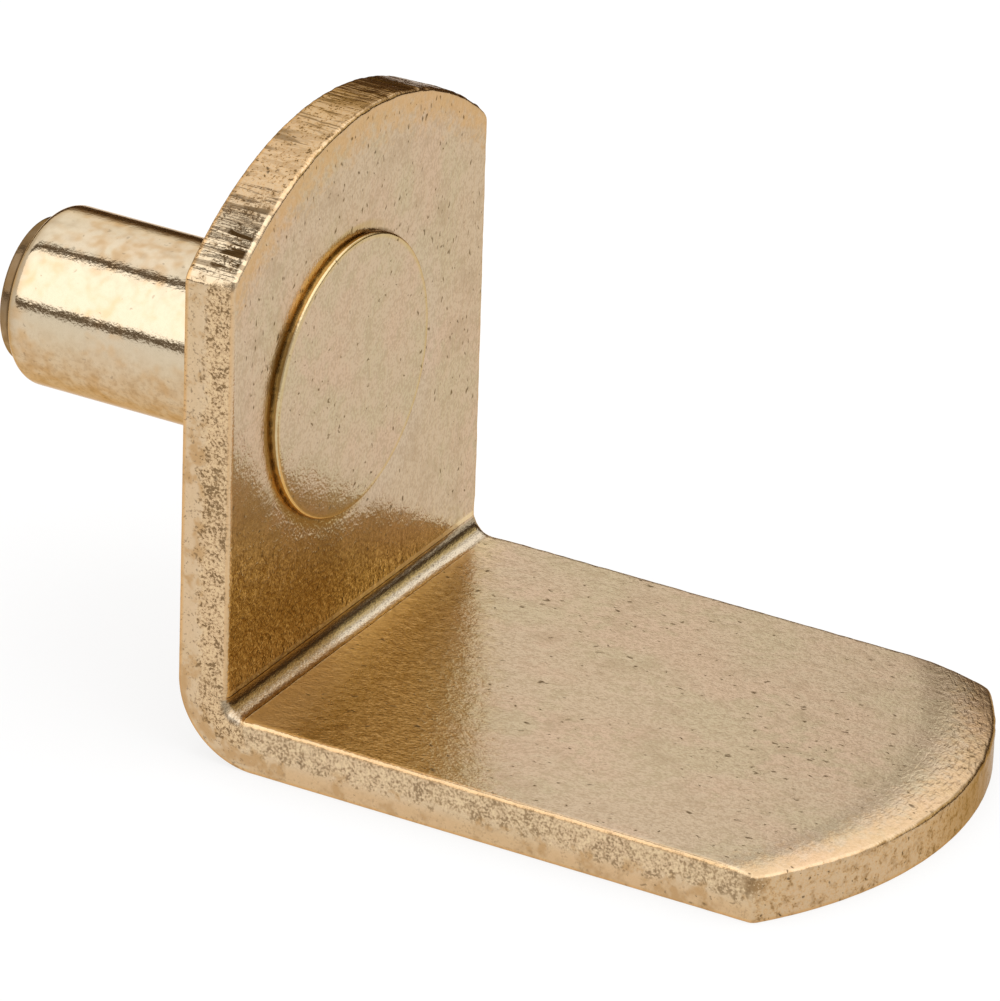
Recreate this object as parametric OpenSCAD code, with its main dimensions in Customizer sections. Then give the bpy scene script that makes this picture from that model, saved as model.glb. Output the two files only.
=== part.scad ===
// Shelf support pin: a folded strip with a round-ended arm and upright, riveted to a plain pin.
// The origin is on the pin's axis, in the face that lies against the cabinet side.
// +X runs along the arm, away from the cabinet side, +Y across the strip and +Z up.

/* [Strip] */
// Width of the strip across the arm
strip_w = 12.8; // [10:0.1:16]
// Thickness of the sheet
sheet_t = 1.45; // [1:0.05:2]
// Reach of the arm from the cabinet side to the crown of its round end
arm_reach = 19.05; // [15:0.05:28]
// Height of the upright from the underside of the arm to the crown of its round end
upright_h = 16.1; // [14:0.1:24]
// Rise of the arc that ends the arm
arm_arc_rise = 2.15; // [1:0.05:3]
// Rise of the arc that ends the upright
upright_arc_rise = 2.55; // [1:0.05:3]

/* [Fold] */
// Radius on the hollow side of the fold
fold_inner_r = 0.5; // [0.2:0.05:0.8]
// Radius on the outer side of the fold
fold_outer_r = 2.25; // [1.7:0.05:2.6]
// Height of the sideways swelling where the fold squeezes the sheet
swell_h = 0.12; // [0.05:0.01:0.3]
// Radius of the swelling at its foot
swell_foot_r = 0.8; // [0.6:0.05:1]
// Radius of the swelling at its top
swell_top_r = 0.4; // [0.2:0.05:0.55]

/* [Punched edges] */
// Bevel along both sides of the inner face
side_bevel = 0.12; // [0.05:0.01:0.3]
// Width over which the arm's round end is rolled down
arm_roll_w = 1.4; // [0.6:0.1:2]
// Depth of that roll at the edge
arm_roll_drop = 0.26; // [0.18:0.02:0.5]
// Width over which the upright's round end is rolled back
upright_roll_w = 0.18; // [0.1:0.02:0.5]
// Depth of that roll at the edge
upright_roll_drop = 0.12; // [0.08:0.01:0.3]
// Slope in degrees at which a roll leaves the flat face
roll_slope = 4; // [2:0.5:6]

/* [Pin] */
// Diameter of the pin that goes into the cabinet's drilled hole
pin_d = 4.85; // [4.3:0.05:6.35]
// Length of the full-width shank behind the cabinet face
shank_l = 7.6; // [5:0.1:12]
// Rounding at the free end of the shank
shank_end_r = 0.55; // [0.3:0.05:1]
// Diameter of the nib that is left on the free end
nib_d = 3.95; // [2:0.05:4.4]
// Length of the nib beyond the shank
nib_l = 0.37; // [0.15:0.01:1]
// Rounding at the end of the nib
nib_end_r = 0.1; // [0.04:0.02:0.14]
// Height of the pin's axis above the underside of the arm
pin_axis_h = 8.85; // [7:0.05:9.5]
// Distance from the pin's axis to the middle of the strip
pin_offset = 0.58; // [0:0.02:1]

/* [Rivet] */
// Diameter of the neck that passes through the upright
neck_d = 4; // [2.5:0.1:4.6]
// Clearance across the neck in its hole
neck_clearance = 0.02; // [0.01:0.01:0.1]
// Diameter of the flat head on the inner face
head_d = 7.65; // [6:0.05:9]
// Height of the head above the inner face
head_h = 0.17; // [0.12:0.01:0.6]
// Rounding of the head's rim
head_rim_r = 0.08; // [0.03:0.01:0.12]

/* [Hidden] */
$fn = 96;
plated_brass = [0.78, 0.68, 0.52];
// How far every cut runs past the faces that it opens
overrun = 0.5;
// Turn of a half circle and of the fold, in degrees
half_turn = 180;
quarter_turn = 90;
strip_half_w = strip_w / 2;
fold_centre = sheet_t + fold_inner_r;
// Lengths of the two limbs before their round ends are punched
arm_blank_l = arm_reach + overrun;
upright_blank_l = upright_h + overrun;

// Radius of the arc that has this chord and this rise
function arc_radius(chord, rise) = (pow(chord / 2, 2) + pow(rise, 2)) / (2 * rise);

// Radius of a roll that leaves the face at roll_slope and drops by this depth over this width
function roll_radius(width, drop) =
    (pow(width, 2) + pow(drop, 2)) / (2 * (drop * cos(roll_slope) - width * sin(roll_slope)));

// Repeats a shape on both sides of the strip
module both_sides() {
    children();
    mirror([0, 1, 0]) children();
}

// Takes what is made for the arm to the upright, whose length and thickness change places
module on_upright() mirror([1, 0, -1]) children();

// Side view of the folded strip: the arm along X and the upright along Y
module strip_section() {
    difference() {
        union() {
            translate([fold_outer_r, 0]) square([arm_blank_l - fold_outer_r, fold_centre]);
            translate([0, fold_outer_r]) square([fold_centre, upright_blank_l - fold_outer_r]);
            intersection() {
                square(fold_outer_r);
                translate([fold_outer_r, fold_outer_r]) circle(fold_outer_r);
            }
        }
        translate([fold_centre, fold_centre]) circle(fold_inner_r);
        translate([fold_centre, sheet_t]) square([arm_blank_l, upright_blank_l]);
        translate([sheet_t, fold_centre]) square([arm_blank_l, upright_blank_l]);
    }
}

// The strip's section drawn out to a width, about the middle of the strip
module drawn_strip(width) {
    translate([0, width / 2, 0]) rotate([quarter_turn, 0, 0]) linear_extrude(width) strip_section();
}

// The swelling that the fold presses out of the strip's sides
module fold_swelling() {
    intersection() {
        drawn_strip(strip_w + 2 * swell_h);
        both_sides()
            translate([sheet_t, strip_half_w - swell_h, sheet_t]) rotate([-quarter_turn, 0, 0]) {
                cylinder(h = swell_h, r = swell_foot_r);
                translate([0, 0, swell_h]) cylinder(h = swell_h, r1 = swell_foot_r, r2 = swell_top_r);
            }
    }
}

// Section of what stays at a round end: the roll's arc over the straight edge below it
module rolled_end_section(arc_r, roll_w, roll_drop) {
    roll_r = roll_radius(roll_w, roll_drop);
    intersection() {
        translate([0, -2 * overrun]) square([arc_r, sheet_t + 2 * overrun]);
        union() {
            translate([arc_r - roll_w - roll_r * sin(roll_slope), sheet_t - roll_r * cos(roll_slope)])
                circle(roll_r);
            translate([0, -2 * overrun]) square([arc_r, sheet_t - roll_drop + 2 * overrun]);
        }
    }
}

// What the punch takes away around the arm's round end, with the rolled edge of the inner face
module round_end_cut(reach, rise, roll_w, roll_drop) {
    arc_r = arc_radius(strip_w, rise);
    translate([reach - arc_r, 0, 0]) rotate([0, 0, -quarter_turn])
        rotate_extrude(angle = half_turn) difference() {
            translate([arc_r - roll_w, -overrun])
                square([roll_w + rise + strip_half_w, sheet_t + 2 * overrun]);
            rolled_end_section(arc_r, roll_w, roll_drop);
        }
}

// Bevel of the inner face along one side of the arm
module arm_bevel_cut() {
    translate([fold_centre, 0, 0]) rotate([quarter_turn, 0, quarter_turn])
        linear_extrude(arm_reach + upright_h) polygon([
            [strip_half_w + overrun, sheet_t + overrun],
            [strip_half_w + overrun, sheet_t - side_bevel - overrun],
            [strip_half_w - side_bevel - overrun, sheet_t + overrun]
        ]);
}

// The same bevel carried round the hollow side of the fold
module fold_bevel_cut() {
    translate([fold_centre, 0, fold_centre]) rotate([quarter_turn, 0, 0]) rotate([0, 0, half_turn])
        rotate_extrude(angle = quarter_turn) polygon([
            [0, strip_half_w - side_bevel - fold_inner_r],
            [fold_inner_r + side_bevel + overrun, strip_half_w + overrun],
            [0, strip_half_w + overrun]
        ]);
}

// The whole folded strip, with its underside in the plane Z = 0 and its middle in the plane Y = 0
module folded_strip() {
    difference() {
        union() {
            drawn_strip(strip_w);
            fold_swelling();
        }
        round_end_cut(arm_reach, arm_arc_rise, arm_roll_w, arm_roll_drop);
        on_upright() round_end_cut(upright_h, upright_arc_rise, upright_roll_w, upright_roll_drop);
        both_sides() {
            arm_bevel_cut();
            on_upright() arm_bevel_cut();
            fold_bevel_cut();
        }
    }
}

// Folded strip with the hole that the pin is riveted into
module bracket() {
    color(plated_brass) difference() {
        translate([0, pin_offset, -pin_axis_h]) folded_strip();
        translate([-overrun, 0, 0]) rotate([0, quarter_turn, 0])
            cylinder(h = sheet_t + 2 * overrun, d = neck_d + neck_clearance);
    }
}

// Half section of a turned bar that stands on X and has its far edge rounded
module turned_bar(radius, length, edge_r) {
    square([radius, length - edge_r]);
    square([radius - edge_r, length]);
    translate([radius - edge_r, length - edge_r]) circle(edge_r);
}

// Pin with its nib, the neck in the upright and the flat riveted head
module pin() {
    color(plated_brass) rotate([0, -quarter_turn, 0]) rotate_extrude() {
        turned_bar(pin_d / 2, shank_l, shank_end_r);
        turned_bar(nib_d / 2, shank_l + nib_l, nib_end_r);
        translate([0, -sheet_t]) square([neck_d / 2, sheet_t]);
        translate([0, -sheet_t]) mirror([0, 1]) turned_bar(head_d / 2, head_h, head_rim_r);
    }
}

bracket();
pin();
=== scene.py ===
"""Shelf support pin: the plated looks of the packed part, with its stage and camera."""

import math

import bpy
import numpy as np
from bpy.props import FloatProperty, FloatVectorProperty, IntProperty, PointerProperty
from bpy.types import Operator, Panel, PropertyGroup
from mathutils import Matrix, Vector


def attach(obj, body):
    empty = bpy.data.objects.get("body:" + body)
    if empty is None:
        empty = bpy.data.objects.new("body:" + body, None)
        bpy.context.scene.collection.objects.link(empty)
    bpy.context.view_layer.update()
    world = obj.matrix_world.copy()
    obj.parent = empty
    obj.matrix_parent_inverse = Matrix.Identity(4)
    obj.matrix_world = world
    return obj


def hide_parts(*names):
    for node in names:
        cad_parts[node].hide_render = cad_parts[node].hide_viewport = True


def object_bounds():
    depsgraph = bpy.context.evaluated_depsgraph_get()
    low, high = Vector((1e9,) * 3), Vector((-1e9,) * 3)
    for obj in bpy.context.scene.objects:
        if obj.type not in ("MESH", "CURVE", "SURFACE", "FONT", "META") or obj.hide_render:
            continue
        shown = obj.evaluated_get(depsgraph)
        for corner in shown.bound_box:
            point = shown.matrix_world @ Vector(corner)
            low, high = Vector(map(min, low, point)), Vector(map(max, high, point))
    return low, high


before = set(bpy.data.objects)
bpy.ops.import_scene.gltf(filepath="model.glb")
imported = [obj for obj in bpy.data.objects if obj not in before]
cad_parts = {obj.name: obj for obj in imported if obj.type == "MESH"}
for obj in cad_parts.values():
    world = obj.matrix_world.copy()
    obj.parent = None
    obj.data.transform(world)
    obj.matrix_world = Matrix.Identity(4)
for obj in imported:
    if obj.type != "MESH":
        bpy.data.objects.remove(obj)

bl_info = {
    "name": "Shelf support pin",
    "version": (1, 0, 0),
    "blender": (4, 5, 0),
    "location": "3D View > Sidebar > Shelf support",
    "description": "Builds a plated shelf support pin, its stage and its camera",
    "category": "Object",
}

CAD_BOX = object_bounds()
MM = 0.001
BODY = "root"
FAR_AWAY = 99.0

# Places along the sheet, in millimetres from the crown of the arm
ARM_ROOT = 17.1
FOLD_MIDDLE = 17.8
UPRIGHT_ROOT = 18.6


# Property helpers


def length(name, description, millimetres):
    """A length that the user may change, stored in metres."""
    return FloatProperty(name=name, description=description, default=millimetres * MM, min=0.0,
                         precision=5, step=0.01, unit="LENGTH")


def share(name, description, value, top=1.0):
    """A plain number from zero up."""
    return FloatProperty(name=name, description=description, default=value, min=0.0, max=top)


def angle(name, description, degrees):
    """An angle that the user may change, stored in radians."""
    return FloatProperty(name=name, description=description, default=math.radians(degrees), subtype="ANGLE")


def colour(name, description, value):
    """A linear colour that the user may change."""
    return FloatVectorProperty(name=name, description=description, default=value, min=0.0, max=1.0,
                               size=3, subtype="COLOR")


class StripSizes(PropertyGroup):
    """Sizes of the folded strip."""

    width: length("Width", "Width of the strip across the arm", 12.8)
    thickness: length("Thickness", "Thickness of the sheet", 1.45)
    reach: length("Reach", "From the cabinet side to the crown of the arm", 19.05)
    height: length("Height", "From the underside of the arm to the crown of the upright", 16.1)
    arm_rise: length("Arm arc", "Rise of the arc that ends the arm", 2.15)
    upright_rise: length("Upright arc", "Rise of the arc that ends the upright", 2.55)
    inner_fold: length("Inner fold", "Radius on the hollow side of the fold", 0.5)
    outer_fold: length("Outer fold", "Radius on the outer side of the fold", 2.25)
    swelling: length("Swelling", "Sideways swelling of the sheet at the fold", 0.1)
    inner_edge: length("Inner edge", "Rounding of the edges round the inner face", 0.13)
    outer_edge: length("Outer edge", "Rounding of the edges round the outer face", 0.06)
    near_corner: length("Near corner", "Rounding of the corners on the near side", 0.14)
    far_corner: length("Far corner", "Rounding of the corners on the far side", 0.2)
    roll_width: length("Roll width", "Width of the arm's rolled edge on the near side", 1.4)
    roll_spread: length("Roll spread", "Further width of the arm's rolled edge on the far side", 1.1)
    roll_near: length("Near roll", "Depth of the arm's rolled edge on the near side", 0.16)
    roll_far: length("Far roll", "Depth of the arm's rolled edge on the far side", 0.35)
    dish: length("Dish", "Depth to which the rivet pressed its head into the sheet", 0.05)
    axis_height: length("Axis height", "Height of the pin's axis above the underside of the arm", 8.85)
    axis_offset: length("Axis offset", "From the pin's axis to the middle of the strip", 0.58)
    hole_radius: length("Hole radius", "Radius of the hole for the neck of the pin", 2.01)
    tear_depth: length("Tear depth", "Depth of the roughness of the sheared edges", 0.055)


class PinSizes(PropertyGroup):
    """Sizes of the turned pin."""

    shank_radius: length("Shank radius", "Radius of the shank", 2.425)
    shank_length: length("Shank length", "Length of the shank behind the upright", 7.6)
    shank_rounding: length("Shank rounding", "Rounding at the free end of the shank", 0.55)
    nib_radius: length("Nib radius", "Radius of the nib on the free end", 1.975)
    nib_length: length("Nib length", "Length of the nib", 0.37)
    nib_rounding: length("Nib rounding", "Rounding at the end of the nib", 0.1)
    neck_radius: length("Neck radius", "Radius of the neck in the upright", 2.0)
    neck_length: length("Neck length", "Length of the neck, from the outer face to the dish", 1.4)
    head_radius: length("Head radius", "Radius of the flat head", 3.825)
    head_height: length("Head height", "Height of the head above the dish", 0.22)
    head_rounding: length("Head rounding", "Rounding of the head's rim", 0.08)
    ring_segments: IntProperty(name="Segments", description="Faces round the pin", default=160, min=32,
                               max=256)


class FinishColours(PropertyGroup):
    """Colours and gloss of the plating, with the colours of its painted highlights, reflections and shade."""

    brass: colour("Brass", "Plating on the flat faces", (0.595, 0.472, 0.34))
    blush: colour("Blush", "Pinker patches of the plating", (0.615, 0.465, 0.34))
    dull: colour("Dull", "Greyer patches of the plating", (0.565, 0.475, 0.325))
    shade: colour("Shade", "Darker specks of the grain", (0.42, 0.32, 0.215))
    # Golden is also the colour of painted shade along the rolled ends and on the shank's underside
    golden: colour("Golden", "Warmer plating along the edges", (0.64, 0.38, 0.16))
    shank: colour("Shank", "Brighter plating of the shank", (0.67, 0.565, 0.405))
    pale: colour("Pale", "Bare metal of the sheared sides", (0.68, 0.50, 0.305))
    # Pale of the painted reflection band round the fold
    silver: colour("Silver", "Plating that the fold has rubbed pale", (0.55, 0.47, 0.36))
    # Cream of the painted highlights beside the fold, in its painted reflection and in the torn bands
    rubbed: colour("Rubbed", "Plating that the tool has rubbed bright beside the fold", (0.9, 0.72, 0.44))
    # Brown of the dark painted reflection band round the fold
    burnish: colour("Burnish", "Plating that the fold has darkened", (0.4, 0.33, 0.23))
    # Yellow of the painted reflection near the fold, round the rivet's head and on the pin head's rim
    bronze: colour("Bronze", "Yellower plating near the fold", (0.595, 0.447, 0.206))
    # Umber is also the colour of painted shade on the shank and the arm's ends, and of painted speckles near
    # the fold
    umber: colour("Umber", "Brown of worn edges and of the shank's underside", (0.26, 0.15, 0.06))
    # Near black of dirt in pits, also of painted shade in the crevice round the rivet's head
    grime: colour("Grime", "Dark deposit in pits and crevices", (0.06, 0.032, 0.011))
    face_roughness: share("Face roughness", "Roughness of the strip's faces", 0.165)
    pin_roughness: share("Pin roughness", "Roughness of the pin's shank", 0.11)
    relief: length("Relief", "Depth of the fine relief of the plating", 0.012)


class StageSizes(PropertyGroup):
    """The floor, the light tent and the camera."""

    floor_radius: length("Floor radius", "Radius of the pale floor", 1500.0)
    tent_radius: length("Tent radius", "Radius of the light tent over the object", 300.0)
    tent_half_length: length("Tent half length", "Half the length of the light tent", 450.0)
    flag_distance: length("Flag distance", "From the pin's axis back to the dark strip", 65.0)
    flag_height: length("Flag height", "Height of the dark strip", 24.0)
    flag_half_length: length("Flag half length", "Half the length of the dark strip", 150.0)
    azimuth: angle("Azimuth", "Turn of the camera round the object", 29.126)
    elevation: angle("Elevation", "Height of the camera above the horizon", 26.425)
    roll: angle("Roll", "Turn of the camera about its own axis", 1.854)
    distance: length("Distance", "Distance from the camera to the point it looks at", 263.183)
    lens: FloatProperty(name="Lens", description="Focal length in millimetres", default=367.88, min=1.0)
    target: FloatVectorProperty(name="Target", description="Point that the camera looks at", size=3,
                                default=(5.7257 * MM, 0.58 * MM, -2.7026 * MM),
                                subtype="TRANSLATION", precision=6)


# Node helpers


def put(socket, value):
    """Links a socket, or sets its value."""
    if isinstance(value, Field):
        value = value.socket
    if isinstance(value, bpy.types.NodeSocket):
        socket.id_data.links.new(value, socket)
    elif value is not None:
        socket.default_value = value


def add(tree, kind, inputs=None, **settings):
    """Adds a node with its settings and inputs."""
    node = tree.nodes.new(kind)
    for name, value in settings.items():
        setattr(node, name, value)
    for name, value in (inputs or {}).items():
        put(node.inputs[name], value)
    return node


class Field:
    """A number that changes over a surface or a shape, with plain arithmetic made of nodes."""

    def __init__(self, socket):
        self.socket = socket
        self.tree = socket.id_data

    def step(self, operation, *values):
        """One arithmetic node."""
        node = add(self.tree, "ShaderNodeMath", operation=operation)
        for socket, value in zip(node.inputs, values):
            put(socket, value)
        return Field(node.outputs[0])

    def __add__(self, other):
        return self.step("ADD", self, other)

    def __sub__(self, other):
        return self.step("SUBTRACT", self, other)

    def __rsub__(self, other):
        return self.step("SUBTRACT", other, self)

    def __mul__(self, other):
        return self.step("MULTIPLY", self, other)

    __radd__ = __add__
    __rmul__ = __mul__

    def most(self, other):
        """The greater of two values."""
        return self.step("MAXIMUM", self, other)

    def size(self):
        """The value without its sign."""
        return self.step("ABSOLUTE", self)

    def below(self, limit):
        """One below a limit, else zero."""
        return self.step("LESS_THAN", self, limit)

    def rise(self, low, high):
        """A smooth step from zero at low to one at high; it falls where high is less."""
        node = add(self.tree, "ShaderNodeMapRange", interpolation_type="SMOOTHSTEP")
        falls = isinstance(high, (int, float)) and isinstance(low, (int, float)) and high < low
        ends = (high, low, 1.0, 0.0) if falls else (low, high, 0.0, 1.0)
        for socket, item in zip(node.inputs, (self, *ends)):
            put(socket, item)
        return Field(node.outputs[0])


def stretched(vector, factors):
    """A place stretched by three factors, or by one."""
    tree = vector.id_data
    if isinstance(factors, tuple):
        node = add(tree, "ShaderNodeVectorMath", {0: vector, 1: factors}, operation="MULTIPLY")
    else:
        node = add(tree, "ShaderNodeVectorMath", {0: vector}, operation="SCALE")
        put(node.inputs["Scale"], factors)
    return node.outputs["Vector"]


def distance(vector):
    """Length of a vector."""
    node = add(vector.id_data, "ShaderNodeVectorMath", {0: vector}, operation="LENGTH")
    return Field(node.outputs["Value"])


def axes(vector):
    """The three coordinates of a place."""
    made = add(vector.id_data, "ShaderNodeSeparateXYZ", {"Vector": vector})
    return [Field(socket) for socket in made.outputs]


def noise(vector, scale, detail=1.0, rough=0.5):
    """Value of a noise pattern."""
    made = add(vector.id_data, "ShaderNodeTexNoise",
               {"Vector": vector, "Scale": scale, "Detail": detail, "Roughness": rough})
    return Field(made.outputs[0])


def channels(colour_socket):
    """The three channels of a colour."""
    made = add(colour_socket.id_data, "ShaderNodeSeparateColor", {"Color": colour_socket})
    return [Field(socket) for socket in made.outputs]


def tint(under, factor, over):
    """One colour laid over another."""
    node = add(factor.tree, "ShaderNodeMix", data_type="RGBA")
    for number, value in ((0, factor), (6, under), (7, over)):
        put(node.inputs[number], value)
    return node.outputs[2]


def opaque(rgb):
    """A colour with full alpha."""
    return (*rgb, 1.0)


def new_group(name, kind, inputs, outputs):
    """An empty node group with its sockets; returns its input sockets and its output sockets."""
    tree = bpy.data.node_groups.new(name, kind)
    for label, socket, default in inputs:
        made = tree.interface.new_socket(label, in_out="INPUT", socket_type=socket)
        if default is not None:
            made.default_value = default
    for label, socket in outputs:
        tree.interface.new_socket(label, in_out="OUTPUT", socket_type=socket)
    return tree, tree.nodes.new("NodeGroupInput").outputs, tree.nodes.new("NodeGroupOutput").inputs


def place_group(tree, name, inputs):
    """Places a shared shader node group in a material; returns its outputs."""
    node = tree.nodes.new("ShaderNodeGroup")
    node.node_tree = bpy.data.node_groups.get(name) or SHARED_GROUPS[name]()
    for label, value in inputs.items():
        put(node.inputs[label], value)
    return {socket.name: Field(socket) for socket in node.outputs}


# Shader node groups that the plated finishes share


def grain_group():
    """Fine grain of the plating, with slow patches of a pinker and of a greyer tone."""
    tree, given, made = new_group(
        "plating_grain", "ShaderNodeTree",
        [("Place", "NodeSocketVector", None), ("Grain", "NodeSocketFloat", 10.0),
         ("Patch", "NodeSocketFloat", 0.35)],
        [(name, "NodeSocketFloat") for name in ("Height", "Tone", "Blush", "Dull")])
    place = given["Place"]
    fine = noise(place, given["Grain"], 1.0, 0.6)
    middle = noise(place, Field(given["Grain"]) * 0.3, 0.0)
    patches = add(tree, "ShaderNodeTexNoise",
                  {"Vector": place, "Scale": given["Patch"], "Detail": 2.0, "Roughness": 0.6})
    first, second, _ = channels(patches.outputs[1])
    put(made["Height"], fine + middle)
    put(made["Tone"], fine * 0.75 + middle * 0.25)
    put(made["Blush"], (first + (middle - 0.5) * 0.3).rise(0.42, 0.62))
    put(made["Dull"], (second + (middle - 0.5) * 0.3).rise(0.45, 0.65))
    return tree


def pit_group():
    """Pits of mixed sizes with ragged rims, crowded in some places and rare in others."""
    tree, given, made = new_group(
        "pits", "ShaderNodeTree",
        [("Place", "NodeSocketVector", None), ("Scale", "NodeSocketFloat", 3.0),
         ("Share", "NodeSocketFloat", 0.3), ("Size", "NodeSocketFloat", 0.25)],
        [("Mask", "NodeSocketFloat")])
    place = given["Place"]
    ragged = add(tree, "ShaderNodeTexNoise", {"Vector": place, "Scale": 8.0, "Detail": 0.0}).outputs[1]
    moved = add(tree, "ShaderNodeVectorMath", {0: place, 1: stretched(ragged, 0.16)}, operation="ADD")
    cells = add(tree, "ShaderNodeTexVoronoi", {"Vector": moved.outputs["Vector"], "Scale": given["Scale"]})
    lot, girth, _ = channels(cells.outputs["Color"])
    size = (girth + 0.3) * given["Size"]
    crowd = (noise(place, 0.45, 0.0) - 0.25).most(0.05) * 4.0 * given["Share"]
    put(made["Mask"], Field(cells.outputs["Distance"]).rise(size, size * 0.3) * lot.below(crowd))
    return tree


SHARED_GROUPS = {"plating_grain": grain_group, "pits": pit_group}


def plated_material(name):
    """A new metal material; returns the material, its tree and its shader's inputs."""
    material = bpy.data.materials.new(name)
    material.use_nodes = True
    shader = next(node for node in material.node_tree.nodes if node.type == "BSDF_PRINCIPLED")
    shader.inputs["Metallic"].default_value = 1.0
    shader.inputs["Specular Tint"].default_value = (0.8, 0.62, 0.42, 1.0)
    return material, material.node_tree, shader.inputs


def finish_surface(tree, shader, colour_socket, roughness, height, relief):
    """Ties colour, roughness and relief to the shader."""
    put(shader["Base Color"], colour_socket)
    put(shader["Roughness"], roughness)
    bump = add(tree, "ShaderNodeBump", {"Height": height, "Strength": 1.0, "Distance": relief})
    put(shader["Normal"], bump.outputs[0])


def mottled(grain, finish):
    """The plating's tone with its patches, before any dirt."""
    tone = tint(opaque(finish.brass), grain["Blush"], opaque(finish.blush))
    tone = tint(tone, grain["Dull"] * 0.8, opaque(finish.dull))
    return tint(tone, grain["Tone"].rise(0.42, 0.62) * 0.5, opaque(finish.shade))


def strip_material(finish, pin):
    """Plating of the strip: satin faces and torn edges, with painted highlights beside the fold, painted
    reflection in and near the fold and round the rivet's head, and painted shade along the ends and in the
    crevice round the head.
    """
    material, tree, shader = plated_material("plated_strip")

    def stored(name, output="Fac"):
        return add(tree, "ShaderNodeAttribute", attribute_name=name).outputs[output]

    sheet = stored("sheet_place", "Vector")
    sheared, depth, end_edge, on_arm, from_end, turn = (
        Field(stored(name)) for name in ("sheared", "depth", "end_edge", "on_arm", "from_end", "fold_turn"))
    across, along, _ = axes(sheet)
    grain = place_group(tree, "plating_grain", {
        "Place": stretched(sheet, (1.0, 0.7, 1.0)), "Grain": 14.0, "Patch": 0.4})
    pits = place_group(tree, "pits", {
        "Place": stretched(sheet, (1.0, 0.6, 1.0)), "Scale": 4.5, "Size": 0.24,
        "Share": 0.45 + along.rise(22.0, 29.0) * 1.9 + along.rise(10.0, 3.0) * 0.7})["Mask"]
    face = 1.0 - sheared
    side = sheared - end_edge
    upright_arc = end_edge * (1.0 - on_arm)
    arm_arc = end_edge * on_arm

    # Torn band of the sheared sides
    coarse = noise(sheet, 4.0, 2.0, 0.65)
    speckle = noise(sheet, 13.0, 2.0, 0.65)
    wander = depth + (coarse - 0.5) * 0.5 + grain["Blush"] * 0.08
    torn = side * wander.rise(0.36, 0.54) * depth.rise(0.97, 0.9)
    ragged = speckle + (coarse - 0.5) * 0.45 + (grain["Dull"] - 0.5) * 0.06
    marks = torn * ragged.rise(0.48, 0.6) * (1.0 - on_arm * 0.3)
    dots = sheared * ragged.rise(0.58, 0.66)

    # Strokes across the upright's round end
    lines = noise(stretched(sheet, (6.0, 6.0, 0.5)), 1.0, 2.0, 0.6)
    strokes = lines.rise(0.52, 0.57)
    blocks = noise(stretched(sheet, (2.4, 2.4, 0.7)), 1.0, 1.0, 0.7)
    inner_part = (depth + (coarse - 0.5) * 0.6).rise(0.25, 0.5) * depth.rise(0.95, 0.87)
    low = across.rise(-3.6, -5.0) * across.rise(-6.25, -6.0) * inner_part
    low = low * strokes.most(speckle.rise(0.5, 0.56) * 0.8) * blocks.rise(0.4, 0.5)
    middle = pits.most(strokes * blocks.rise(0.5, 0.6) * 0.6).most(dots * 0.8)
    chatter = upright_arc * low.most(middle * 0.8)
    crown = upright_arc * across.rise(-1.6, 0.8) * (0.5 + strokes * 0.45)

    # Painted reflection bands and painted highlights at the fold, painted shade in the crevice round the
    # rivet's head, and a painted reflection band beside the head on the near side
    inside = depth.rise(0.85, 0.95)
    # A dark and a pale painted reflection band round the fold
    fold_dark_reflection = inside * turn.rise(0.5, 0.56) * turn.rise(0.95, 0.88)
    fold_pale_reflection = inside * turn.rise(0.05, 0.16) * turn.rise(0.56, 0.5)
    # Painted highlights: a thin line where the fold meets the upright, and a wedge beside the fold on the arm
    fold_highlight_line = face * inside * turn.rise(0.985, 0.999) * along.rise(UPRIGHT_ROOT + 0.08, UPRIGHT_ROOT)
    wedge = (ARM_ROOT - along - across.rise(3.0, -6.0) * 1.2 + (coarse - 0.5) * 0.8).rise(1.0, -0.6)
    fold_highlights = fold_highlight_line.most(face * inside * on_arm * wedge * 0.75)
    place = add(tree, "ShaderNodeTexCoord").outputs["Object"]
    from_axis = distance(stretched(place, (0.0, 1.0 / MM, 1.0 / MM)))
    # Painted shade in the crevice round the rivet's head, and a painted reflection band beside the head on
    # the near side
    crevice_shade = face * inside * (from_axis - pin.head_radius / MM).rise(0.1, 0.03) * coarse.rise(0.35, 0.55)
    head_reflection_band = face * inside * (from_axis - pin.head_radius / MM).rise(0.36, 0.2) * across.rise(2.0, -1.5)

    # Plain tone, where it is warmer, and painted shade along the rolled ends
    tone = mottled(grain, finish)
    haze = noise(sheet, 0.8, 3.0, 0.65)
    tone = tint(tone, face * haze.rise(0.52, 0.7) * 0.4, opaque(finish.shade))
    # Painted shade along the rolled round ends, tinted golden
    rolled_end_shade = face * (from_end + (coarse - 0.5) * 2.4).rise(1.4, 0.1)
    curved = add(tree, "ShaderNodeCombineXYZ", {"X": across * 3.4, "Y": from_end * 10.0, "Z": depth})
    wrinkles = on_arm * face * from_end.rise(2.4, 0.8) * across.rise(-4.5, 2.0)
    wrinkles = wrinkles * noise(curved.outputs[0], 1.0, 1.0).rise(0.48, 0.7)
    warm_arc = end_edge * across.rise(-5.4, -4.0).most(on_arm) * (0.2 + ragged.rise(0.4, 0.6) * 0.45)
    warm = (rolled_end_shade * (0.6 - on_arm * 0.2)).most(warm_arc)
    warm = warm.most(side * depth.rise(0.5, 0.2) * (0.15 + on_arm * 0.3))
    warm = warm.most(torn * (0.3 - on_arm * 0.2)).most(sheared * depth.rise(0.12, 0.04) * 0.9)
    warm = warm.most(side * depth.rise(0.88, 0.95) * 0.6)

    # Painted reflection near the fold with painted dark and bright speckles, bare sides, painted glints in
    # the torn bands, and painted highlights and reflection bands at the fold
    off_fold = (along - FOLD_MIDDLE).size() * (2.4 - on_arm * 0.63)
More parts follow.
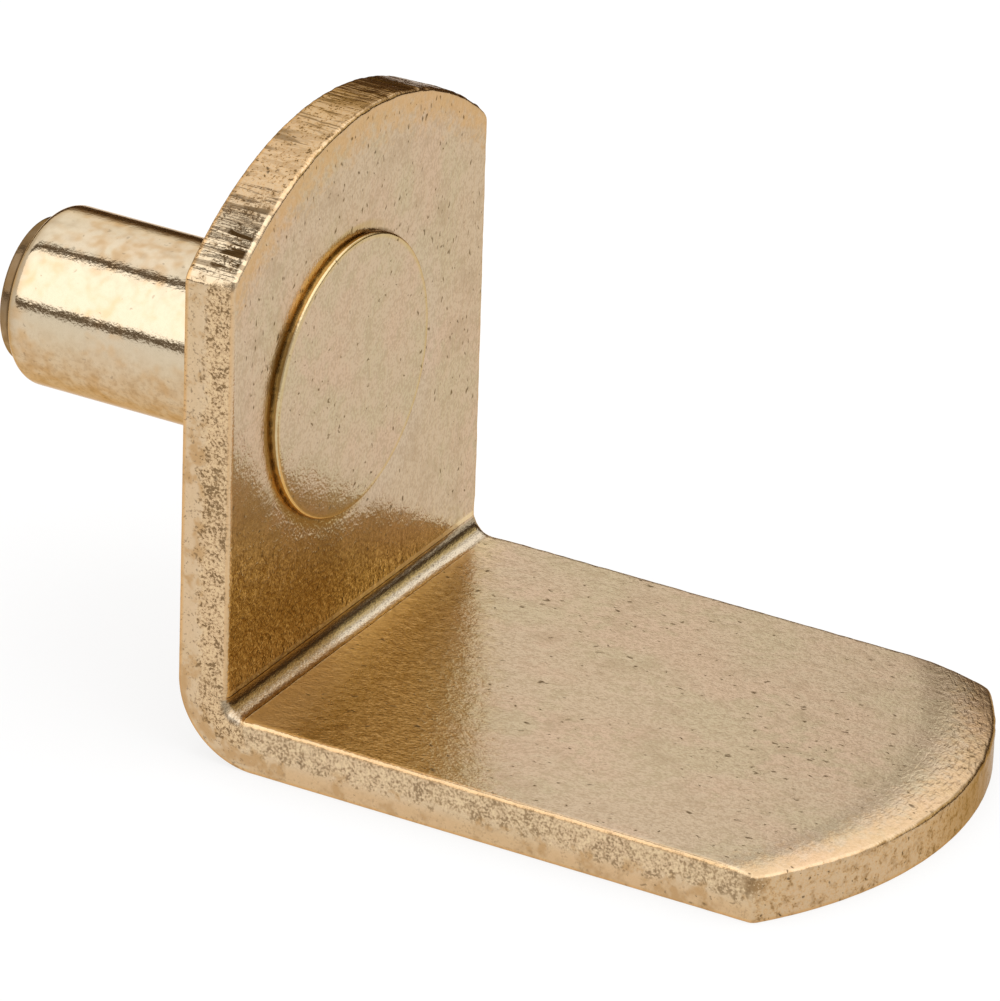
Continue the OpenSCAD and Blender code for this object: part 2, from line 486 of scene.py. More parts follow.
    # Painted reflection of the other limb near the fold, with painted dark and bright speckles
    fold_reflection = face * (across + off_fold + (coarse - 0.5) * 3.0).rise(9.0, 3.0)
    fold_reflection_speckle = fold_reflection * (1.0 - on_arm * 0.5)
    tone = tint(tone, fold_reflection * 0.85, opaque(finish.bronze))
    tone = tint(tone, fold_reflection_speckle * grain["Tone"].rise(0.5, 0.62) * 0.75, opaque(finish.umber))
    tone = tint(tone, fold_reflection_speckle * grain["Tone"].rise(0.46, 0.36) * 0.8, opaque(finish.rubbed))
    tone = tint(tone, head_reflection_band * 0.8, opaque(finish.bronze))
    tone = tint(tone, sheared * 0.7, opaque(finish.pale))
    # Painted glints in the torn bands
    tone = tint(tone, torn * ragged.rise(0.44, 0.36) * 0.5, opaque(finish.rubbed))
    tone = tint(tone, upright_arc * across.rise(-3.8, -5.2) * 0.8, opaque(finish.shank))
    clouds = side * depth.rise(0.65, 0.4) * noise(sheet, 1.3, 3.0, 0.7).rise(0.48, 0.66)
    warm = warm.most(clouds * 0.7)
    tone = tint(tone, warm, opaque(finish.golden))
    tone = tint(tone, fold_highlights * 0.7, opaque(finish.rubbed))
    tone = tint(tone, fold_pale_reflection * 0.9, opaque(finish.silver))
    tone = tint(tone, fold_dark_reflection * 0.9, opaque(finish.burnish))

    # Brown wear, with painted shade at the arm's far end and on its round end, and a painted reflection round
    # the rivet's head
    # Painted shade at the far corner of the arm's rolled end
    far_end_shade = face * on_arm * from_end.rise(2.6, 0.4) * across.rise(0.5, 5.5) * (0.5 + wrinkles * 0.5)
    nick = sheared * on_arm * across.rise(-5.9, -6.3) * from_end.rise(0.5, 0.1) * depth.rise(0.4, 0.7)
    stain = face * (1.0 - on_arm) * along.rise(22.8, 19.5)
    stain = stain * (across + (grain["Blush"] - 0.5) * 2.0).rise(1.0, -3.5)
    # Brown on the round ends: wear, and painted shade towards the far side of the arm's end
    arc_wear_and_shade = 0.14 + on_arm * across.rise(-2.0, 4.0) * 0.8 + dots * 0.4 + coarse.rise(0.45, 0.7) * 0.35
    brown = crown.most(marks * 0.7).most(clouds * 0.3).most(far_end_shade * 0.2).most(head_reflection_band * 0.3)
    brown = brown.most(nick * ragged.rise(0.3, 0.5) * 0.8).most(upright_arc * strokes * 0.4)
    brown = brown.most(stain * (0.5 + speckle.rise(0.4, 0.6) * 0.4)).most(end_edge * arc_wear_and_shade)
    tone = tint(tone, brown, opaque(finish.umber))

    # Dirt with painted shade in the crevice and specks in the fold's painted reflection bands, gloss and
    # relief
    dirt_and_shade = (pits * (face + arm_arc) * 0.75).most(marks * coarse.rise(0.5, 0.62) * 0.45)
    dirt_and_shade = dirt_and_shade.most(chatter).most(crevice_shade * 0.5).most(wrinkles * 0.2)
    dirt_and_shade = dirt_and_shade.most(pits * side * 0.5).most(dots * side * (0.4 - on_arm * 0.2))
    dirt_and_shade = dirt_and_shade.most((fold_dark_reflection + fold_pale_reflection * 0.6) * grain["Tone"].rise(0.48, 0.62) * 0.4)
    roughness = finish.face_roughness + on_arm * 0.06 + dirt_and_shade * 0.15 + torn * 0.1 + fold_highlights * 0.15
    in_turn = turn.rise(0.0, 0.05) * turn.rise(1.0, 0.95)
    height = grain["Height"] * (0.45 + torn * 0.4 + fold_reflection_speckle * (1.0 - in_turn) * 1.4)
    height = height - coarse * (torn + arm_arc * 0.6) - marks * 0.8 + torn * speckle * 2.0
    height = height + lines * upright_arc * 2.0 - wrinkles * 0.4
    finish_surface(tree, shader, tint(tone, dirt_and_shade, opaque(finish.grime)), roughness, height, finish.relief)
    return material


def pin_material(finish, pin):
    """Plating of the pin: a smooth turned shank with painted shade on its underside and top, and a head like
    the strip's face with a painted reflection on its rim.
    """
    material, tree, shader = plated_material("plated_pin")
    place = stretched(add(tree, "ShaderNodeTexCoord").outputs["Object"], 1.0 / MM)
    along, _, upward = axes(place)
    head = along.rise(0.0, 0.01)
    shank = 1.0 - head
    shank_end = -pin.shank_length / MM
    nib = along.rise(shank_end + 0.03, shank_end - 0.01)
    grain = place_group(tree, "plating_grain", {"Place": place, "Grain": 11.0, "Patch": 0.45})
    pits = place_group(tree, "pits", {"Place": place, "Scale": 3.6, "Share": 0.45, "Size": 0.22})["Mask"]
    coarse = noise(place, 2.6, 1.0, 0.6)
    joint = nib * along.rise(shank_end - 0.2, shank_end - 0.06)
    # Dirt in pits and at the nib's joint, and darker towards the nib's top
    dirt_and_shade = (pits * (0.3 + head * 0.4)).most(joint * 0.85).most(nib * coarse.rise(0.3, 0.8) * 0.35)
    dirt_and_shade = dirt_and_shade.most(nib * upward.rise(-0.8, 1.0) * 0.55)
    tone = tint(mottled(grain, finish), shank * 0.75, opaque(finish.shank))
    # Painted shade: golden and brown on the shank's underside, brown on its top
    below, above = upward.rise(0.8, -1.2), upward.rise(1.2, 2.3)
    tone = tint(tone, shank * grain["Blush"] * coarse.rise(0.3, 0.7) * 0.5, opaque(finish.golden))
    tone = tint(tone, shank * below * (0.4 + coarse.rise(0.2, 0.8) * 0.3), opaque(finish.golden))
    tone = tint(tone, shank * below.most(above) * coarse.rise(0.35, 0.8) * 0.3, opaque(finish.umber))
    mottle = noise(place, 8.0, 2.0, 0.65).rise(0.45, 0.65)
    tone = tint(tone, shank * below * mottle * 0.25, opaque(finish.umber))
    rounded = along.rise(shank_end + 0.6, shank_end + 0.1) * upward.rise(-1.5, 0.8)
    tone = tint(tone, rounded * 0.5, opaque(finish.umber))
    tone = tint(tone, nib * (0.5 + coarse.rise(0.2, 0.8) * 0.35), opaque(finish.umber))
    head_radius = pin.head_radius / MM
    # Painted reflection of the plate on the head's rim, in bronze
    rim = head * distance(stretched(place, (0.0, 1.0, 1.0))).rise(head_radius - 0.2, head_radius - 0.08)
    tone = tint(tone, rim * 0.6, opaque(finish.bronze))
    roughness = finish.pin_roughness + head * (finish.face_roughness - finish.pin_roughness) + dirt_and_shade * 0.2
    height = grain["Height"] * (0.3 + head * 0.2) + coarse * nib
    finish_surface(tree, shader, tint(tone, dirt_and_shade, opaque(finish.grime)), roughness, height, finish.relief)
    return material


# Mesh of the strip

# Spacing of the lattice in millimetres
END_ROWS = 0.075
ARM_ROWS = 0.18
UPRIGHT_ROWS = 0.13
COLUMNS = 0.115
LAYERS = 0.075
# Millimetres from the ends over which the rows are closer
ARM_END_WIDTH = 1.8
UPRIGHT_END_WIDTH = 0.5
# Rows round the fold
FOLD_ROWS = 30
# Millimetres over which the fold's swelling and the rivet's dish die out
SPREAD = 0.6
# Radius on which the sheet's length is counted round the fold
COUNT_RADIUS = 1.3
# Height on the upright where that count comes to the arm's reach
COUNT_HEIGHT = 2.5


def arc_sag(across, chord, rise):
    """How far an arc lies behind its crown, at a distance across the strip."""
    radius = (chord ** 2 / 4 + rise ** 2) / (2 * rise)
    return radius - np.sqrt(radius ** 2 - across ** 2)


def smooth_step(value, low, high):
    """Zero below low and one above high, with a smooth rise between."""
    t = np.clip((value - low) / (high - low), 0.0, 1.0)
    return t * t * (3.0 - 2.0 * t)


def graded(total, first, last, spacing):
    """Places from zero to total: close together over both edge roundings, evenly spaced between."""
    loops = np.array([0.0, 0.08, 0.22, 0.42, 0.68, 1.0, 1.5])
    start, end = loops * first, total - loops * last
    count = max(2, int(round((end[-1] - start[-1]) / spacing)) + 1)
    return np.concatenate([start[:-1], np.linspace(start[-1], end[-1], count), end[-2::-1]])


def limb_rows(total, edge, fine_width, fine, coarse):
    """Shares of a limb's length, from its end to its root, finer near the end."""
    near = graded(total, edge, edge, fine)
    near = near[near < fine_width]
    count = int(round((total - fine_width) / coarse)) + 1
    return np.concatenate([near, np.linspace(fine_width, total, count)]) / total


def box_surface(counts):
    """Numbers of the points on the surface of a lattice box, and its outward quads."""
    number = -np.ones(counts, int)
    grid = np.indices(counts)
    on_skin = np.zeros(counts, bool)
    for axis in range(3):
        on_skin |= (grid[axis] == 0) | (grid[axis] == counts[axis] - 1)
    number[on_skin] = np.arange(on_skin.sum())
    quads = []
    for axis in range(3):
        for end in (0, counts[axis] - 1):
            sheet = np.take(number, end, axis=axis)
            a, b, c, d = sheet[:-1, :-1], sheet[1:, :-1], sheet[1:, 1:], sheet[:-1, 1:]
            outward = (end > 0) != (axis == 1)
            quads.append(np.stack([a, b, c, d] if outward else [d, c, b, a], axis=-1).reshape(-1, 4))
    return [axis[on_skin] for axis in grid], np.concatenate(quads)


def strip_lattice(s):
    """Points, quads and point values of the folded strip, in millimetres, with the underside at zero."""
    half = s["width"] / 2
    thick = s["thickness"]
    inner_centre = thick + s["inner_fold"]
    across = graded(s["width"], s["inner_edge"], s["inner_edge"], COLUMNS) - half
    through = graded(thick, s["outer_edge"], s["inner_edge"], LAYERS)
    arm = limb_rows(s["reach"] - s["outer_fold"], s["inner_edge"], ARM_END_WIDTH, END_ROWS, ARM_ROWS)
    upright = limb_rows(
        s["height"] - s["outer_fold"], s["inner_edge"], UPRIGHT_END_WIDTH, END_ROWS, UPRIGHT_ROWS)
    turns = np.linspace(0.0, math.pi / 2, FOLD_ROWS)[1:-1]
    limb = np.concatenate([np.zeros(len(arm)), np.ones(len(turns)), np.full(len(upright), 2)]).astype(int)
    value = np.concatenate([arm, turns, upright[::-1]])
    (i, j, k), quads = box_surface((len(across), len(limb), len(through)))
    v, w, limb, value = across[i], through[k], limb[j], value[j]
    level = w / thick
    root = s["outer_fold"] + (inner_centre - s["outer_fold"]) * level
    on_arm, on_upright = limb == 0, limb == 2

    def limb_length(place):
        arm_length = s["reach"] - arc_sag(place, s["width"], s["arm_rise"])
        upright_length = s["height"] - arc_sag(place, s["width"], s["upright_rise"])
        return np.where(on_arm, arm_length, upright_length)

    # Rounded corners between the ends and the sides
    from_end = np.where(limb == 1, FAR_AWAY, value * (limb_length(v) - root))
    from_side = half - np.abs(v)
    corner = np.where(v > 0, s["far_corner"], s["near_corner"])
    end_in = np.maximum(0.0, corner - from_end)
    side_in = np.maximum(0.0, corner - from_side)
    size = np.maximum(np.hypot(end_in, side_in), 1e-9)
    to_end, to_side = end_in / size, side_in / size
    inward = np.minimum(from_end, from_side)
    pull = np.maximum(end_in, side_in) / size
    from_end = np.where(end_in > 0, corner - end_in * pull, from_end)
    from_side = np.where(side_in > 0, corner - side_in * pull, from_side)

    # Rounded edges between the walls and the faces
    edge = s["outer_edge"] + (s["inner_edge"] - s["outer_edge"]) * smooth_step(level, 0.3, 0.7)
    from_root = np.where(limb == 1, 0.0, (1.0 - value) * (limb_length(v) - root))
    edge = edge * (1.0 + 0.9 * np.exp(-(from_root / 0.4) ** 2) * (level > 0.5))
    upper = level > 0.5
    wall_in = np.maximum(0.0, edge - inward)
    face_in = np.maximum(0.0, np.where(upper, w - thick + edge, edge - w))
    size = np.maximum(np.hypot(wall_in, face_in), 1e-9)
    shift = np.where(wall_in > 0, edge * wall_in / size - wall_in, 0.0)
    from_end = from_end - to_end * shift
    from_side = from_side - to_side * shift
    lift = np.where((wall_in > 0) & (face_in > 0), edge * face_in / size - face_in, 0.0)
    w = w + np.where(upper, lift, -lift)
    sheared = wall_in / size
    v = np.sign(v) * (half - from_side)

    # Roll of the arm's end
    far_share = v / s["width"] + 0.5
    drop = s["roll_near"] + (s["roll_far"] - s["roll_near"]) * far_share
    roll_width = s["roll_width"] + s["roll_spread"] * far_share
    roll = np.where(on_arm, drop * np.clip(1.0 - from_end / roll_width, 0.0, 1.0) ** 2, 0.0)
    w = w - roll * (w / thick)
    level = w / thick

    # Fold with its swelling, and the dish round the rivet's head
    straight = limb_length(v) - from_end
    outer_x = np.where(on_arm, straight, np.where(on_upright, 0.0, s["outer_fold"] * (1 - np.sin(value))))
    outer_z = np.where(on_arm, 0.0, np.where(on_upright, straight, s["outer_fold"] * (1 - np.cos(value))))
    hollow_x = inner_centre - s["inner_fold"] * np.sin(value)
    hollow_z = inner_centre - s["inner_fold"] * np.cos(value)
    inner_x = np.where(on_arm, straight, np.where(on_upright, thick, hollow_x))
    inner_z = np.where(on_arm, thick, np.where(on_upright, straight, hollow_z))
    x = outer_x + (inner_x - outer_x) * level
    z = outer_z + (inner_z - outer_z) * level
    from_fold = np.hypot(x - thick, z - thick)
    v = v + np.sign(v) * s["swelling"] * np.exp(-(from_fold / SPREAD) ** 2) * (np.abs(v) / half) ** 8
    y = v + s["axis_offset"]
    from_head = np.maximum(np.hypot(y, z - s["axis_height"]) - s["head_radius"], 0.0)
    x = x - on_upright * s["dish"] * np.exp(-(from_head / SPREAD) ** 2) * smooth_step(level, 0.5, 1.0)

    # Values for the material
    along_fold = s["reach"] - s["outer_fold"] + COUNT_RADIUS * value
    along_upright = s["reach"] + z - COUNT_HEIGHT
    along = np.where(on_arm, s["reach"] - x, np.where(on_upright, along_upright, along_fold))
    points = np.stack([x, y, z - s["axis_height"]], axis=1) * MM
    fold_turn = np.where(limb == 1, value / (math.pi / 2), limb / 2.0)
    values = {"sheared": sheared, "depth": level, "end_edge": sheared * to_end ** 2, "on_arm": on_arm * 1.0,
              "from_end": np.minimum(from_end, 8.0), "fold_turn": fold_turn}
    return points, quads, np.stack([v, along, w], axis=1), values


def mesh_object(name, points, quads):
    """A mesh object from arrays of points and quads."""
    mesh = bpy.data.meshes.new(name)
    mesh.from_pydata(points.tolist(), [], quads.tolist())
    mesh.update()
    made = bpy.data.objects.new(name, mesh)
    bpy.context.scene.collection.objects.link(made)
    return made


def point_value(made, name, values):
    """Stores a number, or three, on every point of a mesh."""
    kind, field = ("FLOAT_VECTOR", "vector") if values.ndim == 2 else ("FLOAT", "value")
    made.data.attributes.new(name, kind, "POINT").data.foreach_set(field, values.astype(np.float32).ravel())


def settle(made, group, inputs):
    """Runs a Geometry Nodes tree on an object and keeps the result as its plain mesh."""
    modifier = made.modifiers.new(group.name, "NODES")
    modifier.node_group = group
    for item in group.interface.items_tree:
        if item.item_type == "SOCKET" and item.in_out == "INPUT" and item.name in inputs:
            modifier[item.identifier] = inputs[item.name]
    graph = bpy.context.evaluated_depsgraph_get()
    graph.update()
    mesh = bpy.data.meshes.new_from_object(made.evaluated_get(graph), preserve_all_data_layers=True,
                                           depsgraph=graph)
    made.modifiers.remove(modifier)
    old, made.data = made.data, mesh
    bpy.data.meshes.remove(old)
    mesh.name = made.name
    if not len(mesh.polygons):
        raise RuntimeError(made.name + " came out of its nodes with no faces")


def geometry_tree(name, inputs):
    """A Geometry Nodes tree with a geometry input and output and the named inputs."""
    return new_group(name, "GeometryNodeTree", [("Geometry", "NodeSocketGeometry", None), *inputs],
                     [("Geometry", "NodeSocketGeometry")])


def end_tree(tree, made, geometry, material):
    """Smooth shading, real geometry and the material, as the tree's last steps."""
    smooth = add(tree, "GeometryNodeSetShadeSmooth", {"Geometry": geometry}).outputs[0]
    real = add(tree, "GeometryNodeRealizeInstances", {"Geometry": smooth}).outputs[0]
    dressed = add(tree, "GeometryNodeSetMaterial", {"Geometry": real, "Material": material})
    put(made["Geometry"], dressed.outputs[0])


def sheared_relief_tree():
    """Roughens the sheared edges of a strip and cuts the hole for the neck."""
    tree, given, made = geometry_tree("sheared_relief", [
        ("Tear Depth", "NodeSocketFloat", 0.00003), ("Hole Radius", "NodeSocketFloat", 0.002),
        ("Hole Depth", "NodeSocketFloat", 0.004), ("Material", "NodeSocketMaterial", None)])

    def named(name, kind):
        node = add(tree, "GeometryNodeInputNamedAttribute", data_type=kind)
        node.inputs["Name"].default_value = name
        return node.outputs[0]

    sheet = named("sheet_place", "FLOAT_VECTOR")
    sheared, depth, arc, on_arm = (
        Field(named(name, "FLOAT")) for name in ("sheared", "depth", "end_edge", "on_arm"))
    lumps = noise(sheet, 2.4, 3.0, 0.55) - 0.5
    lines = noise(stretched(sheet, (3.2, 3.2, 0.35)), 1.0, 2.0) - 0.5
    rough = lumps * (0.35 + depth.rise(0.35, 0.6)) + lines * arc * (1.0 - on_arm) * 1.6
    normal = tree.nodes.new("GeometryNodeInputNormal").outputs[0]
    offset = stretched(normal, rough * sheared * given["Tear Depth"])
    moved = add(tree, "GeometryNodeSetPosition", {"Geometry": given["Geometry"], "Offset": offset})
    plug = add(tree, "GeometryNodeMeshCylinder",
               {"Vertices": 96, "Radius": given["Hole Radius"], "Depth": given["Hole Depth"]})
    laid = add(tree, "GeometryNodeTransform",
               {"Geometry": plug.outputs["Mesh"], "Rotation": (0.0, math.pi / 2, 0.0)})
    cut = add(tree, "GeometryNodeMeshBoolean", {0: moved.outputs[0], 1: laid.outputs[0]},
              operation="DIFFERENCE", solver="EXACT")
    end_tree(tree, made, cut.outputs[0], given["Material"])
    return tree


def turned_pin_tree():
    """Turns the half section of the pin about its axis."""
    lengths = ("Shank Radius", "Shank Length", "Shank Rounding", "Nib Radius", "Nib Length", "Nib Rounding",
               "Neck Radius", "Neck Length", "Head Radius", "Head Height", "Head Rounding")
    tree, given, made = geometry_tree("turned_pin", [
        *((name, "NodeSocketFloat", 0.001) for name in lengths), ("Ring Spacing", "NodeSocketFloat", 0.00015),
        ("Ring Segments", "NodeSocketInt", 96), ("Material", "NodeSocketMaterial", None)])
    shank_end = Field(given["Shank Length"]) * -1.0
    nib_end = shank_end - given["Nib Length"]
    head_end = Field(given["Neck Length"]) + given["Head Height"]
    section = [
        (nib_end, 0.0, 0.0), (nib_end, given["Nib Radius"], given["Nib Rounding"]),
        (shank_end, given["Nib Radius"], 0.0),
        (shank_end, given["Shank Radius"], given["Shank Rounding"]), (0.0, given["Shank Radius"], 0.0),
        (0.0, given["Neck Radius"], 0.0), (given["Neck Length"], given["Neck Radius"], 0.0),
        (given["Neck Length"], given["Head Radius"], 0.0),
        (head_end, given["Head Radius"], given["Head Rounding"]),
        (head_end, 0.0, 0.0),
    ]
    index = tree.nodes.new("GeometryNodeInputIndex").outputs[0]

    def chosen(kind, items):
        node = add(tree, "GeometryNodeIndexSwitch", data_type=kind)
        while len(node.index_switch_items) < len(items):
            node.index_switch_items.new()
        put(node.inputs["Index"], index)
        for number, item in enumerate(items):
            put(node.inputs[str(number)], item)
        return node.outputs[0]

    path_radius = MM
    corners = [add(tree, "ShaderNodeCombineXYZ", {"X": radius, "Y": along}).outputs[0]
               for along, radius, _ in section]
    line = add(tree, "GeometryNodeMeshLine", {"Count": len(section), "Offset": (MM, 0.0, 0.0)}).outputs[0]
    placed = add(tree, "GeometryNodeSetPosition", {"Geometry": line, "Position": chosen("VECTOR", corners),
                                                   "Offset": (-path_radius, 0.0, 0.0)}).outputs[0]
    half_section = add(tree, "GeometryNodeMeshToCurve", {"Mesh": placed}).outputs[0]
    roundings = chosen("FLOAT", [rounding for _, _, rounding in section])
    rounded = add(tree, "GeometryNodeFilletCurve",
                  {"Curve": half_section, "Radius": roundings, "Limit Radius": True}, mode="POLY")
    put(rounded.inputs["Count"], 10)
    position = tree.nodes.new("GeometryNodeInputPosition").outputs[0]
    after = add(tree, "GeometryNodeFieldAtIndex", data_type="FLOAT_VECTOR")
    put(after.inputs["Value"], position)
    put(after.inputs["Index"], Field(index) + 1.0)
    between = add(tree, "ShaderNodeVectorMath", {0: after.outputs[0], 1: position}, operation="DISTANCE")
    stride = Field(between.outputs["Value"])
    cuts = stride.step("FLOOR", stride.step("DIVIDE", stride, given["Ring Spacing"]))
    ringed = add(tree, "GeometryNodeSubdivideCurve", {"Curve": rounded.outputs[0], "Cuts": cuts}).outputs[0]
    circle = add(tree, "GeometryNodeCurvePrimitiveCircle",
                 {"Resolution": given["Ring Segments"], "Radius": path_radius}).outputs[0]
    turned = add(tree, "GeometryNodeCurveToMesh", {"Curve": circle, "Profile Curve": ringed}).outputs[0]
    closed = add(tree, "GeometryNodeMergeByDistance",
                 {"Geometry": turned, "Distance": 0.001 * MM}).outputs[0]
    laid = add(tree, "GeometryNodeTransform",
               {"Geometry": closed, "Rotation": (0.0, -math.pi / 2, 0.0)}).outputs[0]
    end_tree(tree, made, laid, given["Material"])
    return tree


def body_piece(made, node):
    """Makes a finished object ride on the part's body in place of a node."""
    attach(made, BODY)
    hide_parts(node)


# Stage

# Light of the tent: turns about X from the front floor line over the top to the back, and levels there
LEFT_PANELS = ((0, 0.9), (1, 0.9), (4, 0.12), (10, 0.12), (14, 1.8), (75, 1.8), (79, 0.12), (85, 0.12),
               (90, 1.3), (112, 1.3), (128, 1.2), (153, 1.2), (162, 0.35), (170, 0.1), (180, 0.1))
MIDDLE_PANELS = ((0, 0.5), (50, 0.5), (66, 2.2), (98, 2.0), (114, 1.7), (148, 1.5), (160, 0.4), (180, 0.15))
RIGHT_PANELS = ((0, 0.6), (50, 0.6), (66, 2.2), (98, 2.0), (131, 1.9), (139, 0.95), (180, 0.7))
GAP_LEVELS = ((0, 1.0), (118, 1.0), (130, 0.4), (180, 0.4))
WARM_CARD = (1.0, 0.86, 0.5)
WARM_DARK = (1.0, 0.7, 0.4)


def plain_material(name):
    """An empty node material; returns the material, its tree and its output's surface socket."""
    material = bpy.data.materials.new(name)
    material.use_nodes = True
    tree = material.node_tree
    tree.nodes.clear()
    return material, tree, tree.nodes.new("ShaderNodeOutputMaterial").inputs["Surface"]


def seen_directly(tree):
    """One for camera rays and for what metal and glass show, else zero."""
    path = tree.nodes.new("ShaderNodeLightPath").outputs
    return Field(path["Is Camera Ray"]).most(path["Is Glossy Ray"]).most(path["Is Transmission Ray"])


def floor_material():
    """Pale floor: white to the camera, with part of its own shading kept for the shadow."""
    material, tree, surface = plain_material("pale_floor")
    shade = add(tree, "ShaderNodeBsdfDiffuse", {"Color": (0.86, 0.86, 0.86, 1.0)})
    white = add(tree, "ShaderNodeEmission", {"Color": (1.0, 1.0, 1.0, 1.0), "Strength": 1.0})
    mixed = add(tree, "ShaderNodeMixShader",
                {0: seen_directly(tree) * 0.8, 1: shade.outputs[0], 2: white.outputs[0]})
    put(surface, mixed.outputs[0])
    material.cycles.emission_sampling = "NONE"
    return material


def tent_material():
    """Glow of the light tent, from the colour stored on its points."""
    material, tree, surface = plain_material("tent_glow")
    glow = add(tree, "ShaderNodeAttribute", attribute_name="glow").outputs["Color"]
    put(surface, add(tree, "ShaderNodeEmission", {"Color": glow}).outputs[0])
    material.cycles.emission_sampling = "NONE"
    return material


def make_floor(settings, height):
    """A round floor under the arm."""
    turns = np.linspace(0.0, 2 * math.pi, 64, endpoint=False)
    rim = np.stack([np.cos(turns), np.sin(turns)], axis=1) * settings.floor_radius
    mesh = bpy.data.meshes.new("floor")
    mesh.from_pydata([(x, y, height) for x, y in rim], [], [list(range(len(rim)))])
    made = bpy.data.objects.new("floor", mesh)
    made.data.materials.append(floor_material())
    bpy.context.scene.collection.objects.link(made)


def make_tent(settings, height):
    """A half round tent along X, with soft panels and dark gaps."""
    turns = np.linspace(0.0, 180.0, 121)
    along = np.linspace(-1.0, 1.0, 121)
    phi, place = np.meshgrid(turns, along, indexing="ij")
    radius = settings.tent_radius
    points = np.stack([place * settings.tent_half_length, -radius * np.cos(np.radians(phi)),
                       height + radius * np.sin(np.radians(phi))], axis=-1).reshape(-1, 3)
    number = np.arange(phi.size).reshape(phi.shape)
    corners = (number[:-1, :-1], number[1:, :-1], number[1:, 1:], number[:-1, 1:])
    quads = np.stack(corners, axis=-1).reshape(-1, 4)
    made = mesh_object("tent", points, quads)
    left, middle, right, gap = (
        np.interp(phi, *zip(*levels)) for levels in (LEFT_PANELS, MIDDLE_PANELS, RIGHT_PANELS, GAP_LEVELS))
    slope = place * settings.tent_half_length / radius
    sideways = slope / np.sqrt(1.0 + slope ** 2)
    level = left + (middle - left) * smooth_step(sideways, -0.3, -0.2)
    in_gap = smooth_step(sideways, -0.34, -0.29) * smooth_step(-sideways, 0.2, 0.26)
    level = level * (1.0 + (gap - 1.0) * in_gap)
    level = level + (right - level) * smooth_step(sideways, 0.16, 0.28)
    warmth = smooth_step(sideways, 0.28, 0.38) * smooth_step(phi, 136.0, 146.0)
    glow = level[..., None] * (1.0 + warmth[..., None] * (np.array(WARM_CARD) - 1.0))
    dusk = smooth_step(-level, -0.7, -0.15)
    glow = glow * (1.0 + dusk[..., None] * (np.array(WARM_DARK) - 1.0))
    point_value(made, "glow", glow.reshape(-1, 3))
    made.data.materials.append(tent_material())
    made.visible_camera = False
    made.visible_shadow = False


def make_dark_strip(settings, height):
    """A low dark strip behind the object, which draws its outline as a studio flag does."""
    reach, lift, back = settings.flag_half_length, settings.flag_height, settings.flag_distance
    points = np.array([[x, back, height + z] for z in (0.0, lift) for x in (-reach, reach)])
    made = mesh_object("dark_strip", points, np.array([[0, 1, 3, 2]]))
    material, tree, surface = plain_material("dark_card")
    put(surface, add(tree, "ShaderNodeBsdfDiffuse", {"Color": (0.08, 0.05, 0.026, 1.0)}).outputs[0])
    made.data.materials.append(material)
    made.visible_camera = made.visible_diffuse = made.visible_shadow = False


def make_world():
    """A plain world: white behind the object and in its reflections."""
    world = bpy.data.worlds.new("white_room")
    bpy.context.scene.world = world
    world.use_nodes = True
    tree = world.node_tree
    tree.nodes.clear()
    plain = add(tree, "ShaderNodeBackground", {"Color": (1.0, 1.0, 1.0, 1.0), "Strength": 0.8})
    white = add(tree, "ShaderNodeBackground", {"Color": (1.0, 1.0, 1.0, 1.0), "Strength": 1.0})
    mixed = add(tree, "ShaderNodeMixShader",
                {0: seen_directly(tree), 1: plain.outputs[0], 2: white.outputs[0]})
    put(tree.nodes.new("ShaderNodeOutputWorld").inputs["Surface"], mixed.outputs[0])


def make_camera(settings):
    """The camera at the photograph's viewing angle."""
    a, e, roll = settings.azimuth, settings.elevation, settings.roll
    back = Vector((math.sin(a) * math.cos(e), -math.cos(a) * math.cos(e), math.sin(e)))
    level = Vector((math.cos(a), math.sin(a), 0.0))
    upward = back.cross(level)
    right = math.cos(roll) * level + math.sin(roll) * upward
    up = -math.sin(roll) * level + math.cos(roll) * upward
    data = bpy.data.cameras.new("camera")
    data.lens = settings.lens
    data.sensor_width = 36.0
    data.sensor_fit = "HORIZONTAL"
    data.clip_start = 0.01
    data.clip_end = 10.0
    made = bpy.data.objects.new("camera", data)
    made.matrix_world = Matrix.Translation(Vector(settings.target) + settings.distance * back) @ Matrix(
        (right, up, back)).transposed().to_4x4()
    bpy.context.scene.collection.objects.link(made)
    bpy.context.scene.camera = made
    bpy.context.scene.view_settings.view_transform = "Standard"


# Operators


class SUPPORT_OT_bracket(Operator):
    """Builds the folded strip with its round ends, torn edges and plating"""

    bl_idname = "support.bracket"
    bl_label = "Folded strip"

    def execute(self, context):
        scene = context.scene
        sizes = {name: getattr(scene.support_strip, name) / MM for name in StripSizes.__annotations__}
        sizes["head_radius"] = scene.support_pin.head_radius / MM
        points, quads, sheet, values = strip_lattice(sizes)
        made = mesh_object("folded_strip", points, quads)
        point_value(made, "sheet_place", sheet)
        for name, value in values.items():
            point_value(made, name, value)
        strip = scene.support_strip
        settle(made, sheared_relief_tree(), {
            "Tear Depth": strip.tear_depth, "Hole Radius": strip.hole_radius,
            "Hole Depth": 4.0 * strip.thickness,
            "Material": strip_material(scene.support_finish, scene.support_pin)})
        body_piece(made, "bracket")
        return {"FINISHED"}


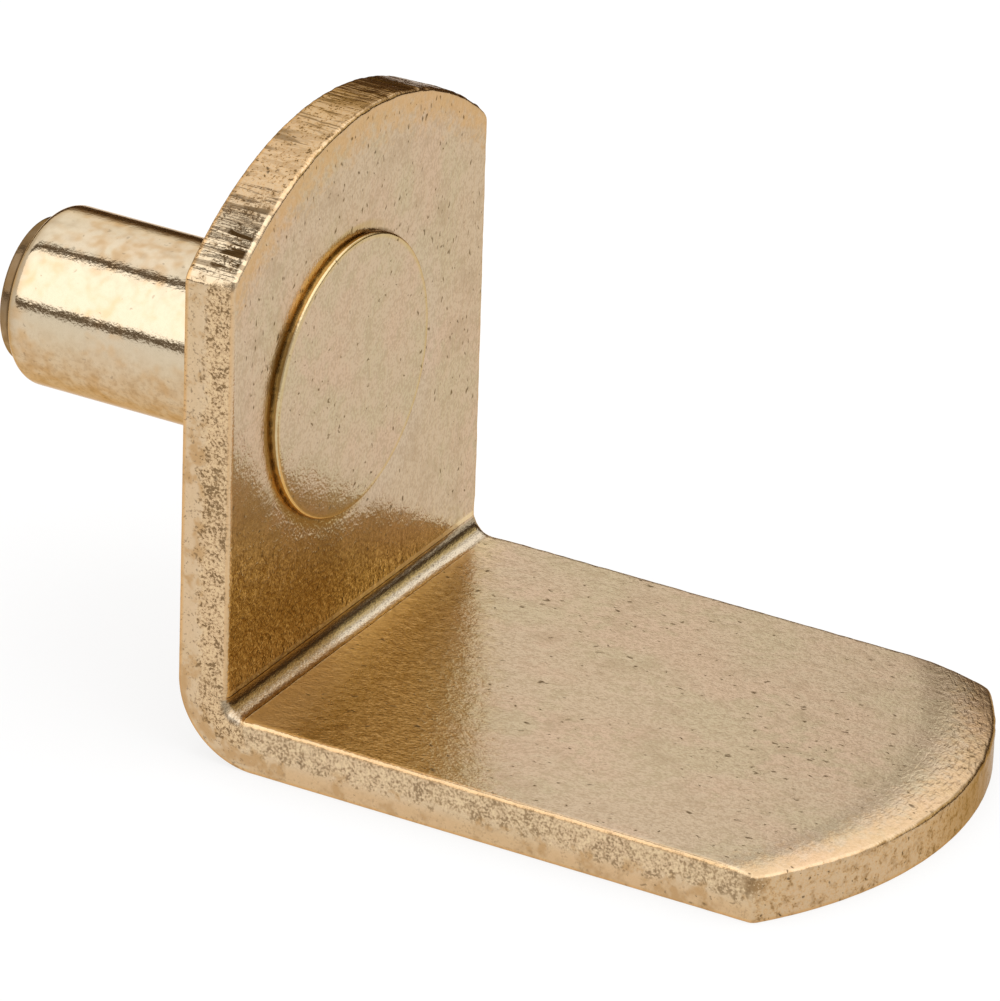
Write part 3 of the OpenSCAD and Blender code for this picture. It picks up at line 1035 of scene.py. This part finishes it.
class SUPPORT_OT_pin(Operator):
    """Turns the pin with its nib, neck and flat riveted head"""

    bl_idname = "support.pin"
    bl_label = "Riveted pin"

    def execute(self, context):
        scene = context.scene
        pin = scene.support_pin
        made = bpy.data.objects.new("riveted_pin", bpy.data.meshes.new("riveted_pin"))
        scene.collection.objects.link(made)
        inputs = {name.replace("_", " ").title(): getattr(pin, name) for name in PinSizes.__annotations__}
        inputs.update({"Ring Spacing": 0.15 * MM, "Material": pin_material(scene.support_finish, pin)})
        settle(made, turned_pin_tree(), inputs)
        body_piece(made, "pin")
        return {"FINISHED"}


class SUPPORT_OT_stage(Operator):
    """Lays the pale floor, sets up the light tent and the white room, and places the camera"""

    bl_idname = "support.stage"
    bl_label = "Stage and camera"

    def execute(self, context):
        settings = context.scene.support_stage
        height = CAD_BOX[0].z
        make_floor(settings, height)
        make_tent(settings, height)
        make_dark_strip(settings, height)
        make_world()
        make_camera(settings)
        return {"FINISHED"}


class SUPPORT_PT_panel(Panel):
    """Sizes, colours and steps of the shelf support pin"""

    bl_idname = "SUPPORT_PT_panel"
    bl_label = "Shelf support"
    bl_space_type = "VIEW_3D"
    bl_region_type = "UI"
    bl_category = "Shelf support"

    def draw(self, context):
        layout = self.layout
        for operator in (SUPPORT_OT_stage, SUPPORT_OT_bracket, SUPPORT_OT_pin):
            layout.operator(operator.bl_idname)
        for name, group in GROUPS.items():
            box = layout.box()
            box.label(text=group.__doc__)
            for item in group.__annotations__:
                box.prop(getattr(context.scene, name), item)


GROUPS = {"support_strip": StripSizes, "support_pin": PinSizes, "support_finish": FinishColours,
          "support_stage": StageSizes}
CLASSES = (*GROUPS.values(), SUPPORT_OT_bracket, SUPPORT_OT_pin, SUPPORT_OT_stage, SUPPORT_PT_panel)


def register():
    """Registers the classes and hangs the settings on the scene."""
    for item in CLASSES:
        bpy.utils.register_class(item)
    for name, group in GROUPS.items():
        setattr(bpy.types.Scene, name, PointerProperty(type=group))


def unregister():
    """Takes the settings and the classes away again."""
    for name in GROUPS:
        delattr(bpy.types.Scene, name)
    for item in reversed(CLASSES):
        bpy.utils.unregister_class(item)


def main():
    """Builds the object and its stage."""
    register()
    bpy.ops.support.stage()
    bpy.ops.support.bracket()
    bpy.ops.support.pin()


if __name__ == "__main__":
    main()
